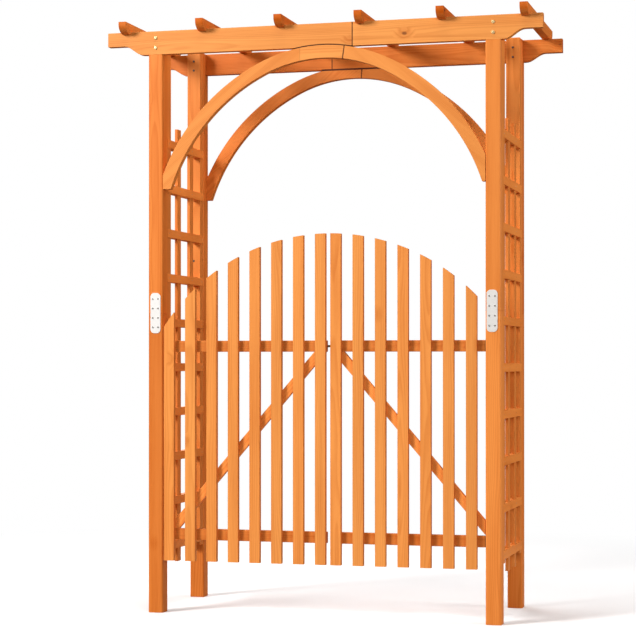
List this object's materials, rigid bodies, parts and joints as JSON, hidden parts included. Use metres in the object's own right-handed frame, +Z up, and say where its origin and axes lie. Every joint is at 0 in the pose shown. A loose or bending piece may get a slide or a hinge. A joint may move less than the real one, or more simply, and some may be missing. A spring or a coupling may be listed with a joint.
{
  "type": "garden arch with gate",
  "caption": "Flat-topped timber garden arch with rafters, curved braces front and rear, lattice sides and a two-leaf arched picket gate.",
  "frame": {"origin": "on the floor, midway between the outermost points across and front to back", "axes": "+Z up, -Y the front, where the gate hangs, +X to the right seen from the front"},
  "size_m": [1.586, 0.606, 2.13],
  "materials": {
    "post_wood": "translucent honey stain on planed softwood, satin",
    "crown_wood": "translucent honey stain on planed softwood, satin",
    "lattice_wood": "translucent honey stain on planed softwood, satin",
    "gate_wood": "translucent honey stain on planed softwood, satin",
    "plate_metal": "bright zinc plating",
    "hinge_metal": "black powder coat",
    "latch_metal": "black powder coat"
  },
  "bodies": {
    "frame": {"post_front_left_lower": "post_wood", "post_front_left_upper": "post_wood", "post_front_right_lower": "post_wood", "post_front_right_upper": "post_wood", "post_rear_left_lower": "post_wood", "post_rear_left_upper": "post_wood", "post_rear_right_lower": "post_wood", "post_rear_right_upper": "post_wood", "mending_plate_front_left": "plate_metal", "mending_plate_front_right": "plate_metal", "mending_plate_rear_left": "plate_metal", "mending_plate_rear_right": "plate_metal", "header_front_left": "crown_wood", "header_front_right": "crown_wood", "header_rear_left": "crown_wood", "header_rear_right": "crown_wood", "arch_front_left": "crown_wood", "arch_front_right": "crown_wood", "arch_rear_left": "crown_wood", "arch_rear_right": "crown_wood", "rafter_1": "crown_wood", "rafter_2": "crown_wood", "rafter_3": "crown_wood", "rafter_4": "crown_wood", "rafter_5": "crown_wood", "rafter_6": "crown_wood", "side_lattice_left": "lattice_wood", "side_lattice_right": "lattice_wood", "hinge_left_upper_post_plate": "hinge_metal", "hinge_left_lower_post_plate": "hinge_metal", "hinge_right_upper_post_plate": "hinge_metal", "hinge_right_lower_post_plate": "hinge_metal"},
    "left_leaf": {"picket_left_1": "gate_wood", "picket_left_2": "gate_wood", "picket_left_3": "gate_wood", "picket_left_4": "gate_wood", "picket_left_5": "gate_wood", "picket_left_6": "gate_wood", "picket_left_7": "gate_wood", "picket_left_8": "gate_wood", "rail_left_upper": "gate_wood", "rail_left_lower": "gate_wood", "brace_left": "gate_wood", "hinge_left_upper_gate_plate": "hinge_metal", "hinge_left_lower_gate_plate": "hinge_metal", "latch_housing": "latch_metal"},
    "right_leaf": {"picket_right_1": "gate_wood", "picket_right_2": "gate_wood", "picket_right_3": "gate_wood", "picket_right_4": "gate_wood", "picket_right_5": "gate_wood", "picket_right_6": "gate_wood", "picket_right_7": "gate_wood", "rail_right_upper": "gate_wood", "rail_right_lower": "gate_wood", "brace_right": "gate_wood", "hinge_right_upper_gate_plate": "hinge_metal", "hinge_right_lower_gate_plate": "hinge_metal", "latch_keeper": "latch_metal"},
    "latch_bolt": {"latch_bolt": "latch_metal"}
  },
  "joints": [
    {"name": "left_leaf_hinge", "type": "hinge", "parent": "frame", "child": "left_leaf", "pos_m": [-0.5837, -0.2157, 0.62], "axis": [0, 0, 1], "range_deg": [0, 90]},
    {"name": "right_leaf_hinge", "type": "hinge", "parent": "frame", "child": "right_leaf", "pos_m": [0.5837, -0.2157, 0.62], "axis": [0, 0, 1], "range_deg": [-90, 0]},
    {"name": "latch_slide", "type": "slide", "parent": "left_leaf", "child": "latch_bolt", "axis": [1, 0, 0], "range_m": [0, 0.03]}
  ]
}
